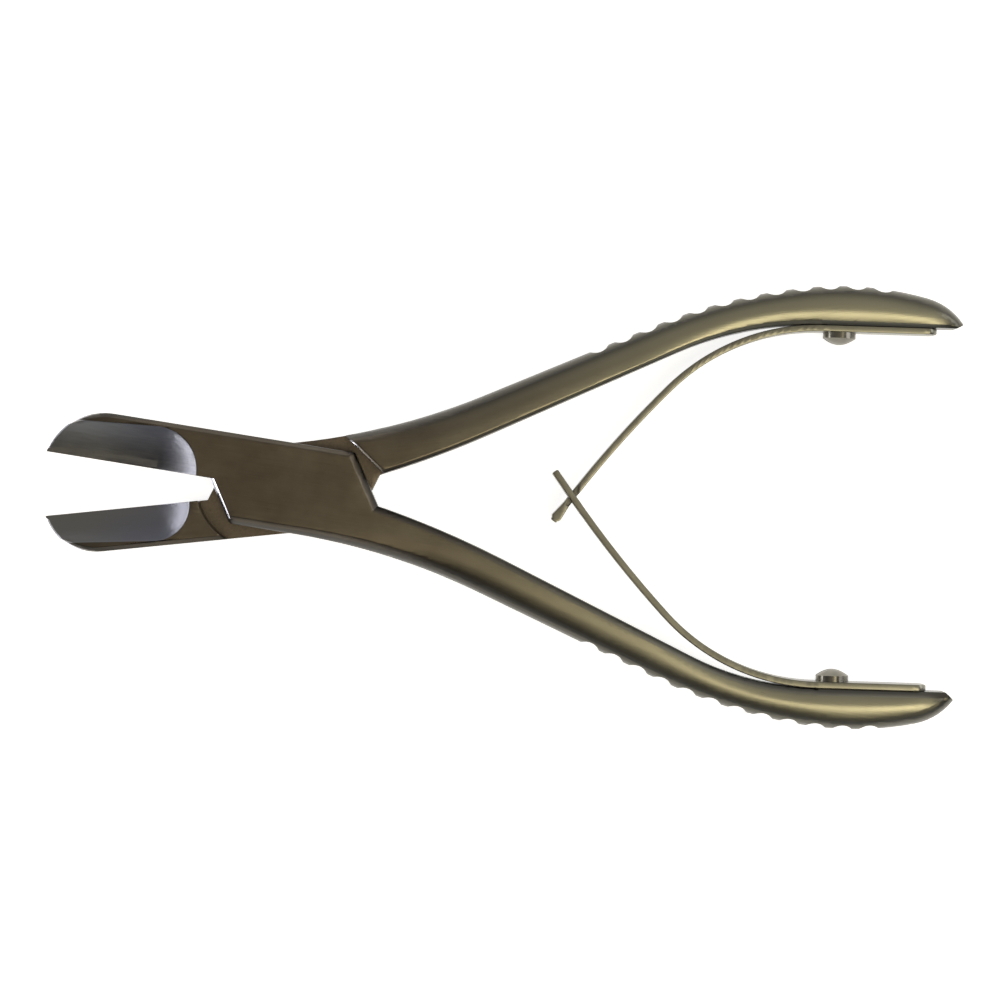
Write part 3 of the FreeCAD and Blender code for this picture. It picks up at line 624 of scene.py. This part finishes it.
def domed_screw(node, name, body):
    made = merged_shape(node)
    middle, axis, top = screw_axis(made)
    low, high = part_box(node)
    cut_across(made, 0, low.x, high.x, HEAD_SLICE)
    cut_across(made, 2, low.z, high.z, HEAD_SLICE)
    for vertex in made.verts:
        offset = vertex.co - middle
        share = smooth_step(offset.dot(axis) / MM, top / MM - DOME_START_DEPTH, top / MM)
        from_axis = offset.cross(axis).length / (HEAD_RADIUS * MM)
        vertex.co -= axis * HEAD_DOME * MM * from_axis ** 2 * share
    rigid(shown(made, name, screw_steel), node, body)


screw_steel = screw_finish()
domed_screw("upper_spring_screw", "upper_screw", "rear_arm")
domed_screw("lower_spring_screw", "lower_screw", "front_arm")

# %% [markdown]
# ## Floor, light and camera
# The forceps lies on a white surface. The floor looks white to the camera and to the metal, but
# still takes a faint shadow.

# %% Floor
FLOOR_SIZE = 3.0
FLOOR_MATTE = shade(0.85, 0.85, 0.85)
FLOOR_GLOW = 0.8


def white_floor():
    finish = Finish(bpy.data.materials.new("white_floor"))
    path = finish.node("ShaderNodeLightPath")
    seen = finish.sum("MAXIMUM", Wire(finish, path.outputs["Is Camera Ray"]),
                      Wire(finish, path.outputs["Is Glossy Ray"]))
    seen = finish.sum("MAXIMUM", seen, Wire(finish, path.outputs["Is Transmission Ray"]))
    matte = finish.node("ShaderNodeBsdfDiffuse", None, {"Color": FLOOR_MATTE})
    glow = finish.node("ShaderNodeEmission", None,
                       {"Color": shade(1, 1, 1), "Strength": seen * FLOOR_GLOW})
    both = finish.node("ShaderNodeAddShader")
    finish.tree.links.new(matte.outputs[0], both.inputs[0])
    finish.tree.links.new(glow.outputs[0], both.inputs[1])
    output = finish.node("ShaderNodeOutputMaterial")
    finish.tree.links.new(both.outputs[0], output.inputs["Surface"])
    return finish.owner


floor_mesh = bpy.data.meshes.new("floor")
floor_made = bmesh.new()
bmesh.ops.create_grid(floor_made, x_segments=1, y_segments=1, size=FLOOR_SIZE / 2)
floor_made.to_mesh(floor_mesh)
floor_made.free()
floor = bpy.data.objects.new("floor", floor_mesh)
floor_mesh.materials.append(white_floor())
bpy.context.scene.collection.objects.link(floor)
print("floor", FLOOR_SIZE, "m wide")

# %% [markdown]
# Polished and brushed steel shows the sky. Straight above it is dim and warm, which makes flat steel
# look dark brown. Halfway down on the near side it is almost black, which darkens rounded sides.
# Towards the horizon it grows brighter and colder, and a warm glow stands high over the grips.

# %% Sky
DIM_ZENITH = shade(0.38, 0.345, 0.3)
BRIGHT_ZENITH = shade(1.0, 0.95, 0.74)
NEAR_HIGH = shade(0.02, 0.02, 0.019)
FAR_HIGH = shade(0.5, 0.48, 0.42)
NEAR_MIDDLE = shade(0.3, 0.3, 0.3)
FAR_MIDDLE = shade(0.42, 0.41, 0.39)
NEAR_HORIZON = shade(0.35, 0.37, 0.4)
FAR_HORIZON = shade(0.65, 0.66, 0.7)
WARM_GLOW = shade(4.2, 3.8, 2.7)
GLOW_TOWARD = (0.27, -0.3, 0.915)


def studio_sky():
    world = bpy.data.worlds.new("studio")
    bpy.context.scene.world = world
    finish = Finish(world)
    direction = Wire(finish, finish.node("ShaderNodeTexCoord").outputs["Generated"])
    x, y, z = finish.split(direction)
    far_side = y.between(-0.3, 0.35)
    zenith = finish.blend(x.between(0.0, 0.3), DIM_ZENITH, BRIGHT_ZENITH)
    high = finish.blend(far_side, NEAR_HIGH, FAR_HIGH)
    middle = finish.blend(far_side, NEAR_MIDDLE, FAR_MIDDLE)
    horizon = finish.blend(far_side, NEAR_HORIZON, FAR_HORIZON)
    color = finish.blend(z.between(0.1, 0.4), horizon, middle)
    color = finish.blend(z.between(0.48, 0.7), color, high)
    color = finish.blend(z.between(0.78, 0.97), color, zenith)
    toward_glow = x * GLOW_TOWARD[0] + y * GLOW_TOWARD[1] + z * GLOW_TOWARD[2]
    color = finish.blend(toward_glow.between(0.95, 0.99), color, WARM_GLOW)
    background = finish.node("ShaderNodeBackground", None, {"Color": color, "Strength": 1.0})
    output = finish.node("ShaderNodeOutputWorld")
    finish.tree.links.new(background.outputs[0], output.inputs["Surface"])


studio_sky()
print("sky:", bpy.context.scene.world.name)

# %% [markdown]
# A long low lamp stands for a window beyond the blades, and a weaker one fills in from the hand.

# %% Lamps


def soft_lamp(name, place, aim, size, watts):
    light = bpy.data.lights.new(name, "AREA")
    light.shape = "RECTANGLE"
    light.size, light.size_y = size
    light.energy = watts
    lamp = bpy.data.objects.new(name, light)
    lamp.location = place
    lamp.rotation_euler = (Vector(aim) - Vector(place)).to_track_quat("-Z", "Y").to_euler()
    bpy.context.scene.collection.objects.link(lamp)
    print(name, watts, "W")


MIDDLE = (0.032, 0.0, 0.0)
soft_lamp("left_window", (-0.8, -0.05, 0.12), MIDDLE, (1.7, 0.2), 5.0)
soft_lamp("right_fill", (0.9, 0.3, 0.5), MIDDLE, (0.8, 0.5), 2.5)

# %% [markdown]
# ## Camera
# The photograph looks straight down from about half a metre, a little turned about the lens axis.

# %% Camera
PHOTO_MM_PER_PIXEL = 0.1524
PHOTO_PIXELS = 1000
SENSOR_WIDTH = 36.0
CAMERA_HEIGHT = 0.45
CAMERA_CENTRE = (32.0 * MM, -0.85 * MM)
CAMERA_TURN = math.radians(1.8)
MIDDLE_HEIGHT = LAP_HEIGHT * MM

lens = bpy.data.cameras.new("photo_camera")
lens.sensor_width = SENSOR_WIDTH
lens.lens = SENSOR_WIDTH * CAMERA_HEIGHT / (PHOTO_MM_PER_PIXEL * PHOTO_PIXELS * MM)
camera = bpy.data.objects.new("photo_camera", lens)
camera.location = (CAMERA_CENTRE[0], CAMERA_CENTRE[1], MIDDLE_HEIGHT + CAMERA_HEIGHT)
camera.rotation_euler = (0.0, 0.0, CAMERA_TURN)
bpy.context.scene.collection.objects.link(camera)
bpy.context.scene.camera = camera
bpy.context.scene.view_settings.view_transform = "Standard"
print("lens", round(lens.lens, 1), "mm")
